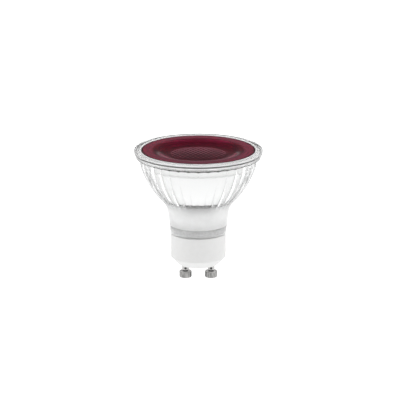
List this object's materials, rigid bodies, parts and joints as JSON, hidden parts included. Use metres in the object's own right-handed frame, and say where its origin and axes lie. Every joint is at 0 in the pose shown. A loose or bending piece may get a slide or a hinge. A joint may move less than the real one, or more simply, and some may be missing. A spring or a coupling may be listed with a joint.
{
  "type": "led spotlight bulb",
  "caption": "Reflector lamp with a fluted clear glass body, a dished red lens in its rim, a white chamfered base and headed contact pins that twist into a lampholder.",
  "frame": {"origin": "midway between both contact pins, level with the undersides of their feet", "axes": "+Z along the lamp towards its lens, X through both contact pins"},
  "size_m": [0.05, 0.05, 0.0514],
  "materials": {
    "clear_glass": "pressed, clear",
    "red_lens": "moulded, tinted, polished",
    "bright_aluminium": "bright satin",
    "grey_silicone": "matte",
    "white_board": "white solder mask",
    "white_frame": "moulded",
    "amber_resin": "cast",
    "dark_lid": "moulded",
    "white_base": "moulded, satin",
    "grey_adhesive": "cured paste",
    "white_filling": "cured paste",
    "nickel_pins": "nickel plated",
    "tinned_wire": "tinned",
    "green_board": "solder mask",
    "capacitor_can": "sleeved",
    "fuse_body": "moulded",
    "ferrite": "sintered",
    "copper_winding": "enamelled",
    "black_package": "moulded",
    "film_case": "dipped",
    "resistor_body": "glazed"
  },
  "bodies": {
    "root": {"glass_reflector": "clear_glass", "red_lens": "red_lens", "heat_spreader_cup": "bright_aluminium", "thermal_pad": "grey_silicone", "led_board": "white_board", "led_packages": "white_frame", "led_encapsulants": "amber_resin", "insulating_lid": "dark_lid", "base_shell": "white_base", "bonding_ring": "grey_adhesive", "neck_filler": "white_filling", "contact_pin_left": "nickel_pins", "contact_pin_right": "nickel_pins", "mains_lead_left": "tinned_wire", "mains_lead_right": "tinned_wire", "led_lead_positive": "tinned_wire", "led_lead_negative": "tinned_wire", "driver_board": "green_board", "bulk_capacitor": "capacitor_can", "fuse_block": "fuse_body", "choke_core": "ferrite", "choke_winding": "copper_winding", "bridge_rectifier": "black_package", "film_capacitor": "film_case", "driver_chip": "black_package", "sense_resistors": "resistor_body"}
  },
  "joints": []
}
